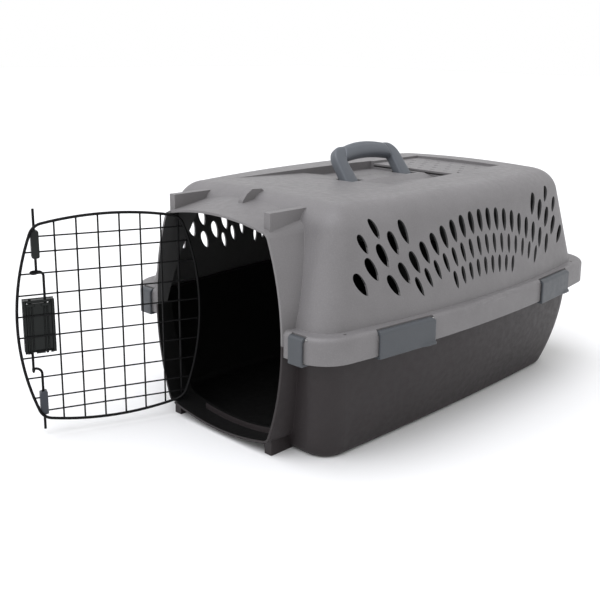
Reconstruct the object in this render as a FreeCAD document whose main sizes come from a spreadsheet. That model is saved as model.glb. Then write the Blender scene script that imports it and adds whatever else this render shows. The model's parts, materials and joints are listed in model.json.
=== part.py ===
"""Pet transport carrier, 610 mm long: two moulded half shells held by six rim clips, a wire door
with a squeeze latch, and a swinging carrying handle.

The origin is the centre of the footprint on the floor. The door end faces -Y, +Z is up, and the
door hinges on the -X side. The door is modelled standing open and the handle leaning on its stop.
"""

import FreeCAD, Part

import math
import os
import re

import Sketcher
from FreeCAD import Placement, Rotation, Vector

X_AXIS, Y_AXIS, Z_AXIS = Vector(1, 0, 0), Vector(0, 1, 0), Vector(0, 0, 1)

# Driving dimensions in millimetres and degrees.
DIMENSIONS = {
    # Both shells
    "wall": 3.0,
    "seam_height": 147.0,
    "seam_gap": 0.3,
    "widest_at": 20.0,
    "rear_corner_radius": 54.0,
    "front_corner_radius": 34.0,
    # Lower shell at the floor, halfway up and at the seam
    "floor_half_width": 159.5,
    "floor_front": 268.0,
    "floor_rear": 250.0,
    "floor_bow": 7.0,
    "waist_height": 66.0,
    "waist_half_width": 184.0,
    "waist_front": 279.0,
    "waist_rear": 270.0,
    "waist_bow": 18.0,
    "base_half_width": 197.5,
    "base_front": 286.0,
    "base_rear": 281.0,
    "base_bow": 30.0,
    "floor_edge_radius": 12.0,
    # Upper shell
    "cabin_half_width": 201.0,
    "cabin_front": 288.0,
    "cabin_rear": 282.0,
    "cabin_bow": 30.0,
    "side_draft": 11.0,
    "front_draft": 16.5,
    "roof_height": 311.0,
    "roof_front_height": 306.0,
    "roof_crown_radius": 2500.0,
    "roof_edge_radius": 38.0,
    # Rim round both shells
    "rim_top": 166.0,
    "rim_bottom": 134.0,
    "rim_half_width": 212.0,
    "rim_front": 305.0,
    "rim_rear": 306.0,
    "rim_bow": 23.0,
    "rim_plate": 3.5,
    "rim_front_radius": 46.0,
    "rim_rear_radius": 56.0,
    "rim_edge_radius": 6.0,
    "flange_fit": 0.6,
    "flange_thickness": 4.0,
    "flange_rib": 2.5,
    "rim_hole_radius": 2.0,
    "rim_hole_front_x": 178.5,
    "rim_hole_front_y": 263.5,
    "rim_hole_rear_x": 184.5,
    "rim_hole_rear_y": 250.0,
    # Door tunnel
    "tunnel_front": 306.0,
    "tunnel_back": 232.0,
    "tunnel_middle": 147.0,
    "tunnel_half_width": 120.8,
    "tunnel_top": 286.6,
    "tunnel_bottom": 6.7,
    "tunnel_side_radius": 333.0,
    "tunnel_top_radius": 417.0,
    "tunnel_bottom_radius": 385.0,
    "tunnel_corner_radius": 13.0,
    "tunnel_flare": 12.0,
    "stop_ridge_back": 276.0,
    "stop_ridge_front": 281.0,
    "stop_ridge_rise": 7.0,
    "relief_half_width": 5.0,
    "relief_half_height": 3.6,
    "relief_reach": 126.4,
    "relief_depth": 2.5,
    # Pin blocks on the hood and lugs below the sill
    "block_half_width": 5.2,
    "block_front": 300.0,
    "block_top": 298.0,
    "lug_half_width": 6.0,
    "lug_front": 299.0,
    "fin_half_width": 4.0,
    # Roof recess, handle plinth and dimpled panel
    "recess_front": 188.0,
    "recess_rear": 84.0,
    "recess_front_half": 100.0,
    "recess_rear_half": 86.0,
    "recess_floor": 297.0,
    "plinth_half_width": 24.0,
    "plinth_half_length": 79.0,
    "plinth_top": 303.0,
    "plinth_depth": 19.0,
    "panel_half": 80.0,
    "panel_depth": 5.0,
    "panel_rear": 196.0,
    "panel_slot": 2.4,
    "dimple_depth": 1.9,
    "dimple_radius": 5.5,
    # Side vents
    "vent_arc": 0.0019,
    "vent_arc_centre": 5.0,
    # Door
    "hinge_x": 88.4,
    "hinge_y": 292.5,
    "door_angle": 112.0,
    "door_gap": 4.0,
    "door_corner_radius": 19.0,
    "frame_wire_radius": 1.8,
    "cross_wire_radius": 1.0,
    "upright_wire_radius": 1.1,
    "rod_radius": 1.6,
    "cross_wire_layer": 2.6,
    "upright_wire_layer": 4.7,
    "frame_wire_layer": 5.4,
    "pin_fit": 0.05,
    "hinge_rod_top": 293.0,
    "hinge_rod_bottom": 5.5,
    "latch_layer": 2.0,
    "tip_x": 87.6,
    "tip_top": 289.0,
    "tip_bottom": 6.5,
    "tip_hole_radius": 2.4,
    "upper_run_x": 79.5,
    "lower_run_x": 97.5,
    "upper_jog": 206.5,
    "lower_jog": 86.0,
    "stub": 2.0,
    # Latch housing, tabs, springs and sleeves
    "housing_left": 69.5,
    "housing_right": 105.5,
    "housing_bottom": 109.0,
    "housing_top": 176.0,
    "housing_inner": 1.6,
    "housing_outer": 9.0,
    "housing_wall": 2.2,
    "cover_thickness": 2.0,
    "channel_half": 3.6,
    "tab_block_half": 4.6,
    "tab_height": 8.0,
    "upper_tab_bottom": 161.0,
    "lower_tab_bottom": 119.0,
    "tab_face": 8.4,
    "tab_back": 1.9,
    "tab_neck_half": 3.3,
    "tab_neck_inner": 0.9,
    "tab_grip_face": 15.5,
    "tab_grip_left": 76.0,
    "tab_grip_right": 99.0,
    "window_margin": 1.5,
    "spring_gap": 0.3,
    "spring_radius": 2.6,
    "spring_wire": 0.4,
    "spring_turns": 10.0,
    "sleeve_half_width": 4.7,
    "sleeve_inner": 3.5,
    "sleeve_outer": 6.0,
    "upper_sleeve_bottom": 228.5,
    "upper_sleeve_top": 263.0,
    "lower_sleeve_bottom": 27.0,
    "lower_sleeve_top": 58.0,
    # Handle
    "handle_lean": 37.0,
    "handle_pivot_z": 297.0,
    "foot_y": 60.0,
    "foot_half_width": 13.0,
    "foot_radius": 8.0,
    "leg_half_thickness": 8.0,
    "handle_shoulder": 44.0,
    "handle_crown": 63.5,
    "handle_under": 43.0,
    "grip_half_length": 47.0,
    "grip_half_thickness": 8.5,
    "core_thickness": 8.0,
    "core_bottom": 48.0,
    "core_top": 58.0,
    "handle_pin_radius": 2.5,
    "slot_fit": 0.6,
    "slot_half_length": 15.5,
    # Rim clips
    "clip_pivot_inset": 2.4,
    "clip_pivot_z": 162.4,
    "clip_barrel_radius": 2.4,
    "clip_pin_radius": 1.0,
    "clip_stand_off": 0.9,
    "clip_plate": 2.6,
    "clip_hook_inset": 9.0,
    "clip_hook_top": 133.3,
    "clip_hook_bottom": 130.6,
    "clip_lip": 2.6,
    "clip_lip_height": 3.0,
    "clip_lip_share": 0.22,
    "clip_notch": 3.2,
    "clip_end_gap": 0.5,
    "middle_clip_length": 94.0,
    "rear_clip_length": 88.0,
    "front_clip_length": 22.0,
    "front_clip_x": 142.5,
}

# Half-width positions of the door's uprights and heights of its cross wires, from the closed door.
UPRIGHT_POSITIONS = (13, 39, 65)
CROSS_WIRE_PITCH = 26.6
CROSS_WIRES_BELOW, CROSS_WIRES_ABOVE = 3, 4
CROSS_WIRE_MIDDLE = 130.3
EXTRA_CROSS_WIRES = (32.4, 255.7)

# Rim clips on one side: name and place along Y.
SIDE_CLIPS = (("middle", -178.0), ("rear", 161.0))

# Rows of side vents on arcs that share a centre: crown height of the arc, first and last place
# along Y, number of vents, vent length, width at each end, and lean in degrees at each end and
# in the middle.
VENT_ROWS = (
    (203.9, -68, 62.5, 9, 24.5, 7.4, 7.0, 12, -2, -20),
    (231.6, -136, 129, 16, 27.5, 7.8, 7.2, 25, 5, -29),
    (263.5, -178, 168, 19, 31.5, 11.5, 10.0, 31, 6, -27),
    (308.4, -227, -152, 5, 32.5, 13.2, 11.2, 31, 26, 21),
    (306.8, 137, 217, 5, 33.0, 13.0, 12.0, -21, -31, -46),
    (345.7, -217, -197, 2, 27.0, 10.0, 9.2, 27, 26, 25),
    (344.0, 183, 207, 2, 26.0, 10.5, 10.5, -30, -31, -32),
)

doc = FreeCAD.newDocument("PetCarrier")
sheet = doc.addObject("Spreadsheet::Sheet", "Dimensions")
for row, (alias, number) in enumerate(DIMENSIONS.items(), start=1):
    sheet.set(f"A{row}", alias)
    sheet.set(f"B{row}", str(number))
    sheet.setAlias(f"B{row}", alias)
doc.recompute()

NODES = {}


def value(formula):
    """The number that a sum of sheet names and numbers stands for, such as 'rim_top - wall'."""
    total = 0.0
    for sign, word in re.findall(r"([+-]?)\s*([\w.]+)", formula):
        size = float(word) if word[0].isdigit() else float(sheet.get(word))
        total += -size if sign == "-" else size
    return total


def expression(formula):
    """The same sum as an expression on the sheet."""
    return re.sub(r"([a-z]\w*)", r"Dimensions.\1", formula)


def negated(formula):
    """The sum with every sign turned; it starts with a name or number."""
    return "-" + formula.translate(str.maketrans("+-", "-+"))


def bind(feature, **formulas):
    """Binds properties of a feature to sums of sheet names."""
    for name, formula in formulas.items():
        feature.setExpression(name, expression(formula))


def keep(feature, name):
    """Registers a finished feature as one physical piece of the carrier."""
    feature.Label = name
    NODES[name] = feature
    return feature


def keep_shape(name, shape):
    """A piece whose free-form shape Part's own functions have made."""
    feature = doc.addObject("Part::Feature", name)
    feature.Shape = shape
    return keep(feature, name)


# ---------------------------------------------------------------- sketches and bodies


def new_body(name):
    return keep(doc.addObject("PartDesign::Body", name), name)


def new_sketch(body, plane):
    """An empty sketch on one of the body's own origin planes, such as XZ_Plane."""
    sketch = body.newObject("Sketcher::SketchObject", f"{body.Name}_sketch")
    support = next(p for p in body.Origin.OriginFeatures if p.Role == plane)
    sketch.AttachmentSupport = (support, "")
    sketch.MapMode = "FlatFace"
    return sketch


def pin_point(sketch, geometry, point, across, up):
    """Fixes one point of a sketch at two sums of sheet names."""
    for kind, formula in (("DistanceX", across), ("DistanceY", up)):
        row = sketch.addConstraint(Sketcher.Constraint(kind, geometry, point, value(formula)))
        sketch.setExpression(f"Constraints[{row}]", expression(formula))


def add_polygon(sketch, corners):
    """A closed outline of straight lines whose corners are sums of sheet names."""
    points = [Vector(value(across), value(up), 0) for across, up in corners]
    first = sketch.GeometryCount
    for start, end in zip(points, points[1:] + points[:1]):
        sketch.addGeometry(Part.LineSegment(start, end))
    for step, (across, up) in enumerate(corners):
        previous = first + (step - 1) % len(corners)
        sketch.addConstraint(Sketcher.Constraint("Coincident", previous, 2, first + step, 1))
        pin_point(sketch, first + step, 1, across, up)


def add_circle(sketch, across, up, radius):
    """A circle whose centre and radius are sums of sheet names."""
    centre = Vector(value(across), value(up), 0)
    index = sketch.addGeometry(Part.Circle(centre, Z_AXIS, value(radius)))
    pin_point(sketch, index, 3, across, up)
    row = sketch.addConstraint(Sketcher.Constraint("Radius", index, value(radius)))
    sketch.setExpression(f"Constraints[{row}]", expression(radius))


def add_rectangle(sketch, left, right, bottom, top):
    add_polygon(sketch, [(left, bottom), (right, bottom), (right, top), (left, top)])


def pad(body, sketch, length, both_ways=True, flip=False):
    feature = body.newObject("PartDesign::Pad", f"{body.Name}_pad")
    feature.Profile = sketch
    feature.Midplane = both_ways
    feature.Reversed = flip
    bind(feature, Length=length)
    return feature


def pocket(body, sketch, length, both_ways=True, flip=False):
    feature = body.newObject("PartDesign::Pocket", f"{body.Name}_pocket")
    feature.Profile = sketch
    feature.Midplane = both_ways
    feature.Reversed = flip
    bind(feature, Length=length)
    return feature


# ---------------------------------------------------------------- outlines of the shells


def plan_outline(z, half_width, front, rear, bow, inset=0.0):
    """A level outline with bowed sides and sharp corners, symmetrical about the YZ plane. The bow
    is how much narrower the outline is at 290 mm from its widest place."""
    widest = value("widest_at")
    near_front, near_rear = -front + inset, rear - inset
    flatness = bow / 290.0**2

    def half_at(y):
        return half_width - inset - flatness * (y - widest) ** 2

    corners = [
        Vector(side * half_at(y), y, z)
        for side, y in ((-1, near_front), (1, near_front), (1, near_rear), (-1, near_rear))
    ]
    near_side = Part.Arc(corners[1], Vector(half_width - inset, widest, z), corners[2])
    far_side = Part.Arc(corners[3], Vector(inset - half_width, widest, z), corners[0])
    rear_wall = Part.Arc(corners[2], Vector(0, near_rear + 4, z), corners[3])
    front_wall = Part.LineSegment(corners[0], corners[1])
    return Part.Wire([g.toShape() for g in (front_wall, near_side, rear_wall, far_side)])


def upright_edges(solid, front):
    """The four corner edges of a block: those in front of or behind the origin."""
    found = []
    for edge in solid.Edges:
        box = edge.BoundBox
        rises = box.ZLength > 0.6 * solid.BoundBox.ZLength
        if rises and (box.Center.y < 0) == front:
            found.append(edge)
    return found


def round_corners(solid, front_radius, rear_radius):
    solid = solid.makeFillet(rear_radius, upright_edges(solid, front=False))
    return solid.makeFillet(front_radius, upright_edges(solid, front=True))


def edges_at(solid, test):
    """The edges whose middle point passes a test."""
    return [
        edge
        for edge in solid.Edges
        if test(edge.valueAt((edge.FirstParameter + edge.LastParameter) / 2))
    ]


def tunnel_outline(y, grow=0.0, grow_down=None, corner=None):
    """The barrel-shaped outline of the door tunnel in an XZ plane: four large arcs and four small
    ones that touch them. grow offsets it outwards."""
    grow_down = grow if grow_down is None else grow_down
    middle = value("tunnel_middle")
    corner = value("tunnel_corner_radius") + grow if corner is None else corner
    side = value("tunnel_side_radius") + grow
    top = value("tunnel_top_radius") + grow
    bottom = value("tunnel_bottom_radius") + grow
    side_centre = (value("tunnel_half_width") + grow - side, middle)
    top_centre = (0.0, value("tunnel_top") + grow - top)
    bottom_centre = (0.0, value("tunnel_bottom") - grow_down + bottom)

    def touch(centre, radius, direction):
        """Centre of the corner arc inside the side arc and another arc."""
        reach_side, reach = side - corner, radius - corner
        across, up = centre[0] - side_centre[0], centre[1] - side_centre[1]
        apart = math.hypot(across, up)
        along = (reach_side**2 - reach**2 + apart**2) / (2 * apart)
        off = math.sqrt(reach_side**2 - along**2)
        unit = (across / apart, up / apart)
        return (
            side_centre[0] + along * unit[0] + direction * off * unit[1],
            side_centre[1] + along * unit[1] - direction * off * unit[0],
        )

    def outward(start, centre, radius):
        """Where a ray from a large arc's centre through a corner arc's centre leaves."""
        across, up = start[0] - centre[0], start[1] - centre[1]
        length = math.hypot(across, up)
        return (centre[0] + across / length * radius, centre[1] + up / length * radius)

    upper, lower = touch(top_centre, top, -1), touch(bottom_centre, bottom, 1)
    marks = [
        outward(upper, top_centre, top),
        outward(upper, side_centre, side),
        outward(lower, side_centre, side),
        outward(lower, bottom_centre, bottom),
    ]

    def corner_middle(centre, first, second):
        across = (first[0] + second[0]) / 2 - centre[0]
        up = (first[1] + second[1]) / 2 - centre[1]
        length = math.hypot(across, up)
        return (centre[0] + across / length * corner, centre[1] + up / length * corner)

    near = [
        (marks[0], corner_middle(upper, marks[0], marks[1]), marks[1]),
        (marks[1], (side_centre[0] + side, middle), marks[2]),
        (marks[2], corner_middle(lower, marks[2], marks[3]), marks[3]),
    ]

    def mirrored(arc):
        return tuple((-across, up) for across, up in reversed(arc))

    bottom_arc = (marks[3], (0.0, bottom_centre[1] - bottom), (-marks[3][0], marks[3][1]))
    top_arc = ((-marks[0][0], marks[0][1]), (0.0, top_centre[1] + top), marks[0])
    arcs = [*near, bottom_arc, *(mirrored(arc) for arc in reversed(near)), top_arc]
    return Part.Wire([Part.Arc(*(Vector(a, y, u) for a, u in arc)).toShape() for arc in arcs])


def barrel_half_width(z, grow=0.0):
    """Half width of the tunnel outline at a height, away from its corners."""
    radius = value("tunnel_side_radius") + grow
    rise = z - value("tunnel_middle")
    return value("tunnel_half_width") + grow - radius + math.sqrt(radius**2 - rise**2)


def barrel_height(x, top, grow=0.0):
    """Height of the tunnel outline's top or bottom arc at a distance from the middle."""
    name = "top" if top else "bottom"
    radius = value(f"tunnel_{name}_radius") + grow
    drop = radius - math.sqrt(radius**2 - x**2)
    if top:
        return value("tunnel_top") + grow - drop
    return value("tunnel_bottom") - grow + drop


def tunnel_block(grow=0.0):
    """The solid inside the tunnel's outer surface, which flares towards the cabin."""
    front, back = -value("tunnel_front"), -value("tunnel_back")
    outlines = [
        tunnel_outline(front, grow),
        tunnel_outline(back, value("tunnel_flare") + grow, grow),
    ]
    return Part.makeLoft(outlines, True, True)


def tunnel_passage(depth=0.0):
    """The straight way through the tunnel, a wall's thickness inside it and deeper by depth."""
    front, back = -value("tunnel_front") - 1, -value("tunnel_back")
    face = Part.Face(tunnel_outline(front, -value("wall") - depth))
    return face.extrude(Vector(0, back - front, 0))


def cabin_block(inset=0.0):
    """The upper shell's body with its rounded corners and crowned roof, or its hollow."""
    bottom, top = value("seam_height + seam_gap") - (1.0 if inset else 0.0), 335.0
    rim = value("rim_top")

    def outline(z):
        side = math.tan(math.radians(value("side_draft"))) * (z - rim)
        front = math.tan(math.radians(value("front_draft"))) * (z - rim)
        return plan_outline(
            z,
            value("cabin_half_width") - side,
            value("cabin_front") - front,
            value("cabin_rear") - side,
            value("cabin_bow"),
            inset,
        )

    block = Part.makeLoft([outline(bottom), outline(top)], True, True)
    corner = value("front_corner_radius") - inset
    block = round_corners(block, corner, value("rear_corner_radius") - inset)
    block = block.common(roof_block(value("roof_height") - inset, inset))
    roof_edges = edges_at(block, lambda p: p.z > 285)
    return block.makeFillet(value("roof_edge_radius") - inset, roof_edges)


def roof_block(height, inset):
    """Everything under the crowned roof, which falls towards the front."""
    fall = value("roof_height - roof_front_height")
    level_from, length = 50.0, 340.0
    arc = Part.Arc(
        Vector(0, -length, height - fall * 1.6),
        Vector(0, (level_from - length) / 2, height - fall * 0.4),
        Vector(0, level_from, height),
    ).toShape()
    ends = [Vector(0, level_from, height), Vector(0, length, height), Vector(0, length, 100)]
    ends += [Vector(0, -length, 100), Vector(0, -length, height - fall * 1.6)]
    profile = Part.Face(Part.Wire([arc, *Part.makePolygon(ends).Edges]))
    radius = value("roof_crown_radius") - inset
    swing = 7.0
    axis = Vector(0, 0, height - radius)
    profile.rotate(axis, Y_AXIS, -swing)
    return profile.revolve(axis, Y_AXIS, 2 * swing)


def base_block(inset=0.0):
    """The lower shell's body, which swells towards the rim, or its hollow."""
    levels = (("floor", inset), ("waist", value("waist_height")), ("base", value("seam_height")))
    outlines = [
        plan_outline(
            z,
            value(f"{name}_half_width"),
            value(f"{name}_front"),
            value(f"{name}_rear"),
            value(f"{name}_bow"),
            inset,
        )
        for name, z in levels
    ]
    block = Part.makeLoft(outlines, True, False)
    corner = value("front_corner_radius") - inset
    block = round_corners(block, corner, value("rear_corner_radius") - inset)
    floor_edges = edges_at(block, lambda p: p.z < inset + 0.01)
    return block.makeFillet(value("floor_edge_radius") - inset, floor_edges)


def rim_block(bottom, top, inset=0.0):
    """A level slab with the rim's outline."""
    outline = plan_outline(
        bottom,
        value("rim_half_width"),
        value("rim_front"),
        value("rim_rear") - 4,
        value("rim_bow"),
        inset,
    )
    block = Part.Face(outline).extrude(Vector(0, 0, top - bottom))
    front, rear = value("rim_front_radius"), value("rim_rear_radius")
    return round_corners(block, front - inset, rear - inset)


def slab(z_low, z_high):
    return Part.makeBox(600, 800, z_high - z_low, Vector(-300, -400, z_low))


def box(x_low, x_high, y_low, y_high, z_low, z_high):
    return Part.makeBox(x_high - x_low, y_high - y_low, z_high - z_low, Vector(x_low, y_low, z_low))


# ---------------------------------------------------------------- features of the shells


def clip_places():
    """Each rim clip's name, place on the rim, outward direction in degrees from +X and the sheet
    name of its length."""
    flatness = value("rim_bow") / 290.0**2
    corner_slope = math.atan(2 * flatness * value("rim_front + widest_at"))
    radius = value("rim_front_radius")
    arc_start = front_rim_corner() - radius * math.tan(math.pi / 4 - corner_slope / 2)
    lean = math.asin(max(value("front_clip_x") - arc_start, 0.0) / radius)
    places = []
    for side_name, side in (("near", 1), ("far", -1)):
        for name, y in SIDE_CLIPS:
            x = value("rim_half_width") - flatness * (y - value("widest_at")) ** 2
            slope = math.degrees(math.atan(-2 * flatness * (y - value("widest_at"))))
            turn = -slope if side > 0 else 180 + slope
            place = Vector(side * x, y, 0)
            places.append((f"{side_name}_{name}_clip", place, turn, f"{name}_clip_length"))
        y = -value("rim_front") + radius * (1 - math.cos(lean))
        place = Vector(side * value("front_clip_x"), y, 0)
        turn = -90.0 + side * math.degrees(lean)
        places.append((f"{side_name}_front_clip", place, turn, "front_clip_length"))
    return places


def front_rim_corner():
    """X of the rim's sharp front corner before it is rounded."""
    flatness = value("rim_bow") / 290.0**2
    return value("rim_half_width") - flatness * (value("rim_front") + value("widest_at")) ** 2


def clip_placement(place, turn):
    inset = value("clip_pivot_inset")
    direction = Vector(math.cos(math.radians(turn)), math.sin(math.radians(turn)), 0)
    pivot = place - direction * inset
    pivot.z = value("clip_pivot_z")
    return Placement(pivot, Rotation(Z_AXIS, turn))


def clip_notch(place, turn, length):
    """The pocket in the rim's top edge where a clip's barrel turns."""
    half, reach = value(length) / 2 + value("clip_end_gap"), value("clip_notch")
    block = box(-reach, 8, -half, half, -reach, 8)
    block.Placement = clip_placement(place, turn)
    return block


def clip_pin_shape(length):
    grip = 3.0
    overall = value(length) + 2 * value("clip_end_gap") + 2 * grip
    return Part.makeCylinder(value("clip_pin_radius"), overall, Vector(0, -overall / 2, 0), Y_AXIS)


def vent_face(length, width):
    """A drop-shaped face in the YZ plane: round at the top, pointed at the bottom."""
    half = length / 2
    sides = []
    for side in (1, -1):
        curve = Part.BezierCurve()
        poles = [(0, half), (side * 0.68 * width, half), (side * 0.66 * width, -0.45 * half), (0, -half)]
        curve.setPoles([Vector(0, y, z) for y, z in poles])
        sides.append(curve.toShape())
    return Part.Face(Part.Wire(sides))


def vent_cutters():
    """Prisms through both sides of the cabin, one for each pair of vents."""
    cutters = []
    for crown, first, last, count, length, width_first, width_last, *leans in VENT_ROWS:
        for step in range(count):
            share = step / (count - 1)
            y = first + share * (last - first)
            z = crown - value("vent_arc") * (y + value("vent_arc_centre")) ** 2
            lean = (
                leans[0] * (1 - share) * (1 - 2 * share)
                + leans[1] * 4 * share * (1 - share)
                + leans[2] * share * (2 * share - 1)
            )
            face = vent_face(length, width_first + share * (width_last - width_first))
            face.rotate(Vector(), X_AXIS, lean)
            face.translate(Vector(-230, y, z))
            cutters.append(face.extrude(Vector(460, 0, 0)))
    return cutters


def roof_recess(grow=0.0):
    """The hollow round the handle, which runs out towards the front of the roof."""
    front, rear = -value("recess_front") - grow, value("recess_rear") + grow
    floor, roof = value("recess_floor") - grow, 330
    slope = [(front, 306.5 - grow), (-60, 302.5 - grow), (-20, floor), (rear, floor)]
    points = [Vector(-150, y, z) for y, z in [*slope, (rear, roof), (front, roof)]]
    side = Part.Face(Part.makePolygon([*points, points[0]])).extrude(Vector(300, 0, 0))
    wide, narrow = value("recess_front_half") + grow, value("recess_rear_half") + grow
    plan_points = [(-wide, front), (wide, front), (narrow, rear), (-narrow, rear), (-wide, front)]
    plan = Part.Face(Part.makePolygon([Vector(x, y, 285) for x, y in plan_points]))
    return side.common(plan.extrude(Vector(0, 0, 60)))


def rear_panel(grow=0.0):
    """The shallow tray behind the recess, with an undercut slot below its front lip."""
    half = value("panel_half") + grow
    front, rear = value("recess_rear"), value("panel_rear")
    floor = value("roof_height - panel_depth") - grow
    tray = box(-half, half, front - 1, rear + grow, floor, 330)
    slot_top = floor - value("wall") + 2 * grow
    slot_bottom = slot_top - value("panel_slot") - 2 * grow
    slot = box(-half, half, front - 1, front + 7 + grow, slot_bottom, slot_top)
    return tray.fuse(slot)


def plinth_block(grow=0.0):
    """The waisted block that carries the handle, wider at its foot."""
    half_width = value("plinth_half_width") + grow
    half_length = value("plinth_half_length") + grow
    spread, waist = 14.0, 9.0
    levels = (
        (value("plinth_top - plinth_depth"), spread),
        (value("recess_floor"), spread),
        (value("plinth_top"), 0.0),
    )
    outlines = []
    for z, extra in levels:
        x, y = half_width + extra, half_length + extra / 3
        corners = [Vector(-x, -y, z), Vector(x, -y, z), Vector(x, y, z), Vector(-x, y, z)]
        sides = (
            Part.LineSegment(corners[0], corners[1]),
            Part.Arc(corners[1], Vector(x - waist, 0, z), corners[2]),
            Part.LineSegment(corners[2], corners[3]),
            Part.Arc(corners[3], Vector(waist - x, 0, z), corners[0]),
        )
        outlines.append(Part.Wire([side.toShape() for side in sides]))
    return Part.makeLoft(outlines, True, True)


def foot_slots():
    """The slots in the plinth where the handle's feet swing between their two stops."""
    half_y, half_x = value("foot_half_width + slot_fit"), value("slot_half_length")
    slots = []
    for centre in (-value("foot_y"), value("foot_y")):
        slots.append(box(-half_x, half_x, centre - half_y, centre + half_y, 270, 320))
    return slots


def handle_pin_shapes():
    """The two pins that carry the handle's feet across the plinth's slots."""
    length = 2 * value("foot_half_width + slot_fit") + 12
    pins = {}
    for name, y in (("front", -value("foot_y")), ("rear", value("foot_y"))):
        start = Vector(0, y - length / 2, value("handle_pivot_z"))
        pins[name] = Part.makeCylinder(value("handle_pin_radius"), length, start, Y_AXIS)
    return pins


def dimples():
    """Shallow ovals in staggered rows on the rear panel."""
    radius, pitch_x, pitch_y = value("dimple_radius"), 24.0, 21.0
    top = value("roof_height - panel_depth")
    ovals = []
    for row in range(5):
        for column in range(-3, 4):
            x = pitch_x * (column + (0.5 if row % 2 else 0.0))
            y = value("recess_rear") + 15 + pitch_y * row
            if abs(x) < value("panel_half") - 8:
                centre = Vector(x, y, top + radius - value("dimple_depth"))
                ovals.append(Part.makeSphere(radius, centre))
    return ovals


def rim_holes():
    """Four holes through both shells' rims for cable ties."""
    places = (
        (value("rim_hole_front_x"), -value("rim_hole_front_y")),
        (value("rim_hole_rear_x"), value("rim_hole_rear_y")),
    )
    return [
        Part.makeCylinder(value("rim_hole_radius"), 60, Vector(side * x, y, 120))
        for x, y in places
        for side in (-1, 1)
    ]


def pin_sockets(low, high):
    """Upright holes for the hinge rod and for the latch rods' tips."""
    hinge_x, hinge_y = -value("hinge_x"), -value("hinge_y")
    tip_y = hinge_y - value("latch_layer")
    return [
        Part.makeCylinder(value("rod_radius + pin_fit"), high - low, Vector(hinge_x, hinge_y, low)),
        Part.makeCylinder(value("tip_hole_radius"), high - low, Vector(value("tip_x"), tip_y, low)),
    ]


def mouth_reliefs():
    """Notches in the tunnel's mouth where the fully open door's frame wire lies."""
    half_width, half_height = value("relief_half_width"), value("relief_half_height")
    back = value("relief_depth - tunnel_front")
    reliefs = []
    for side in (-1, 1):
        x, z = -value("hinge_x"), value("tunnel_middle") + side * value("relief_reach")
        reliefs.append(box(x - half_width, x + half_width, -320, back, z - half_height, z + half_height))
    return reliefs


def placed_clip_pins():
    pins = {}
    for name, place, turn, length in clip_places():
        pin = clip_pin_shape(length)
        pin.Placement = clip_placement(place, turn)
        pins[name] = pin
    return pins


def make_upper_shell():
    wall, seam = value("wall"), value("seam_height + seam_gap")
    rim_bottom, rim_top = value("rim_bottom"), value("rim_top")
    cabin = cabin_block()
    rim = rim_block(rim_bottom, rim_top)
    top_edges = edges_at(rim, lambda p: p.z > rim_top - 0.01)
    rim = rim.makeFillet(value("rim_edge_radius"), top_edges)
    rim = rim.cut(rim_block(rim_bottom - 1, rim_top - value("rim_plate"), wall))
    hood = tunnel_block().common(slab(seam, 330))
    block_x, half = value("hinge_x"), value("block_half_width")
    blocks = [
        box(x - half, x + half, -value("block_front"), -226, 268, value("block_top"))
        for x in (-block_x, block_x)
    ]
    shell = rim.fuse([cabin, hood, *blocks, fin()])
    hollow = cabin_block(wall).cut([roof_recess(wall), rear_panel(wall), plinth_block()])
    lower_tunnel = tunnel_block(value("seam_gap")).common(slab(60, seam))
    shell = shell.cut([hollow, tunnel_passage(), lower_tunnel, roof_recess(), rear_panel()])
    shell = shell.fuse(plinth_block())
    notches = [clip_notch(place, turn, length) for _, place, turn, length in clip_places()]
    tools = rim_holes() + pin_sockets(260, value("hinge_rod_top + 2")) + notches
    tools += list(placed_clip_pins().values()) + list(handle_pin_shapes().values())
    tools += foot_slots() + dimples() + vent_cutters() + mouth_reliefs()
    return shell.cut(tools)


def fin():
    """The gusset on the middle of the hood."""
    half = value("fin_half_width")
    profile = [(-266, 284), (-262, 297), (-255, 305), (-246, 310), (-231, 309), (-222, 302), (-222, 284)]
    points = [Vector(-half, y, z) for y, z in profile]
    return Part.Face(Part.makePolygon([*points, points[0]])).extrude(Vector(2 * half, 0, 0))


def make_lower_shell():
    wall, seam = value("wall"), value("seam_height")
    flange_inset = value("wall + flange_fit")
    rib_bottom = value("rim_bottom + flange_fit")
    flange = rim_block(seam - value("flange_thickness"), seam, flange_inset)
    rib = rim_block(rib_bottom, seam, flange_inset)
    rib = rib.cut(rim_block(rib_bottom - 1, seam + 1, flange_inset + value("flange_rib")))
    lug_x, half = value("hinge_x"), value("lug_half_width")
    lugs = [
        box(x - half, x + half, -value("lug_front"), -262, 0, 24) for x in (-lug_x, lug_x)
    ]
    sill = tunnel_block().common(slab(0, seam))
    shell = base_block().fuse([flange, rib, sill, *lugs])
    shell = shell.cut([base_block(wall), tunnel_passage()])
    ridge_span = box(-52, 96, -value("stop_ridge_front"), -value("stop_ridge_back"), 5, 60)
    ridge = tunnel_passage().cut(tunnel_passage(value("stop_ridge_rise"))).common(ridge_span)
    shell = shell.fuse(ridge)
    sockets = pin_sockets(value("hinge_rod_bottom - 2"), 40)
    return shell.cut(rim_holes() + sockets + mouth_reliefs())


# ---------------------------------------------------------------- door


# The door is drawn as if closed, X measured from its hinge and Y towards the cabin, and placed open.
DOOR = Placement(
    Vector(-value("hinge_x"), -value("hinge_y"), 0), Rotation(Z_AXIS, -value("door_angle"))
)


def door_point(x, layer, z):
    """A point on the door: x from the carrier's middle plane when closed, layer towards the cabin."""
    return Vector(x + value("hinge_x"), layer, z)


def place_on_door(feature, x, layer, z, turn=None):
    feature.Placement = DOOR.multiply(Placement(door_point(x, layer, z), turn or Rotation()))
    return feature


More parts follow.
